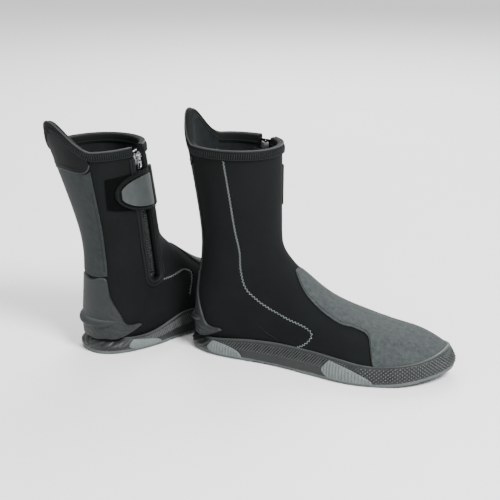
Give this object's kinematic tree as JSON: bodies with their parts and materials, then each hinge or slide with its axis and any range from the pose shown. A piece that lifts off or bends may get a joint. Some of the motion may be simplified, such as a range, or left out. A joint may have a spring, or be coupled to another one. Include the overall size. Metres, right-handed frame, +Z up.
{
  "type": "neoprene boots",
  "caption": "Ankle-high neoprene boots with a side zip, strap, heel tab and moulded rubber sole, standing heel to heel.",
  "frame": {"origin": "on the ground under the centre of the right boot's heel, on the face of the flat heel pad of its outsole", "axes": "+X towards the right boot's toe, +Y towards its medial side, +Z up; the left boot stands beside it, turned outwards"},
  "size_m": [0.4224, 0.3048, 0.2607],
  "materials": {
    "neoprene": "matte, fine knit face",
    "toe_rubber": "matte, fine grain",
    "heel_rubber": "satin",
    "spine_rubber": "satin, fine grain",
    "tab_cloth": "matte",
    "lining_cloth": "matte plush",
    "binding_tape": "matte, stretch tape",
    "insole_foam": "matte",
    "midsole_foam": "matte foam",
    "outsole_rubber": "satin",
    "foxing_rubber": "satin",
    "insert_rubber": "satin",
    "zip_cloth": "woven tape",
    "zip_plastic": "moulded",
    "zip_metal": "plated",
    "hook_cloth": "hook-and-loop",
    "strap_cloth": "matte webbing",
    "badge_rubber": "satin moulded rubber"
  },
  "bodies": {
    "right_boot": {"right_front_panel": "neoprene", "right_forefoot_panel": "neoprene", "right_rear_panel": "neoprene", "right_vamp_overlay": "toe_rubber", "right_heel_counter": "heel_rubber", "right_fin_strap_ledge": "heel_rubber", "right_spine_strip": "spine_rubber", "right_tab_patch": "tab_cloth", "right_tab_lining": "lining_cloth", "right_collar_binding": "binding_tape", "right_insole": "insole_foam", "right_midsole": "midsole_foam", "right_outsole": "outsole_rubber", "right_foxing": "foxing_rubber", "right_toe_bumper": "foxing_rubber", "right_heel_bumper": "foxing_rubber", "right_sole_inserts": "insert_rubber", "right_zip_tape": "zip_cloth", "right_front_teeth": "zip_plastic", "right_rear_teeth": "zip_plastic", "right_zip_stops": "zip_metal", "right_zip_facing": "tab_cloth", "right_zip_gusset": "lining_cloth", "right_loop_patch": "hook_cloth", "right_strap_anchor": "strap_cloth"},
    "right_slider": {"right_zip_slider": "zip_metal"},
    "right_pull": {"right_zip_pull": "zip_metal"},
    "right_strap": {"right_strap": "strap_cloth", "right_strap_badge": "badge_rubber", "right_hook_patch": "hook_cloth"},
    "left_boot": {"left_front_panel": "neoprene", "left_forefoot_panel": "neoprene", "left_rear_panel": "neoprene", "left_vamp_overlay": "toe_rubber", "left_heel_counter": "heel_rubber", "left_fin_strap_ledge": "heel_rubber", "left_spine_strip": "spine_rubber", "left_tab_patch": "tab_cloth", "left_tab_lining": "lining_cloth", "left_collar_binding": "binding_tape", "left_insole": "insole_foam", "left_midsole": "midsole_foam", "left_outsole": "outsole_rubber", "left_foxing": "foxing_rubber", "left_toe_bumper": "foxing_rubber", "left_heel_bumper": "foxing_rubber", "left_sole_inserts": "insert_rubber", "left_zip_tape": "zip_cloth", "left_front_teeth": "zip_plastic", "left_rear_teeth": "zip_plastic", "left_zip_stops": "zip_metal", "left_zip_facing": "tab_cloth", "left_zip_gusset": "lining_cloth", "left_loop_patch": "hook_cloth", "left_strap_anchor": "strap_cloth"},
    "left_slider": {"left_zip_slider": "zip_metal"},
    "left_pull": {"left_zip_pull": "zip_metal"},
    "left_strap": {"left_strap": "strap_cloth", "left_strap_badge": "badge_rubber", "left_hook_patch": "hook_cloth"}
  },
  "joints": [
    {"name": "left_boot_lift", "type": "slide", "parent": "right_boot", "child": "left_boot", "axis": [0, 0, 1], "range_m": [0, 0.35]},
    {"name": "right_slider_travel", "type": "slide", "parent": "right_boot", "child": "right_slider", "axis": [0, -0.0466, -0.9989], "range_m": [0, 0.1252]},
    {"name": "right_pull_swing", "type": "hinge", "parent": "right_slider", "child": "right_pull", "pos_m": [0.03213, 0.0406, 0.22011], "axis": [0.9658, -0.259, 0.0121], "range_deg": [0, 150]},
    {"name": "right_strap_open", "type": "hinge", "parent": "right_boot", "child": "right_strap", "pos_m": [0.04816, 0.03505, 0.18095], "axis": [-0.0034, -0.024, -0.9997], "range_deg": [0, 100]},
    {"name": "left_slider_travel", "type": "slide", "parent": "left_boot", "child": "left_slider", "axis": [0.0255, 0.1704, -0.9851], "range_m": [0, 0.1252]},
    {"name": "left_pull_swing", "type": "hinge", "parent": "left_slider", "child": "left_pull", "pos_m": [-0.07296, -0.05845, 0.21816], "axis": [-0.1536, -0.973, -0.1723], "range_deg": [0, 150]},
    {"name": "left_strap_open", "type": "hinge", "parent": "left_boot", "child": "left_strap", "pos_m": [-0.06858, -0.0352, 0.18095], "axis": [-0.0499, -0.1703, 0.9841], "range_deg": [0, 100]}
  ]
}
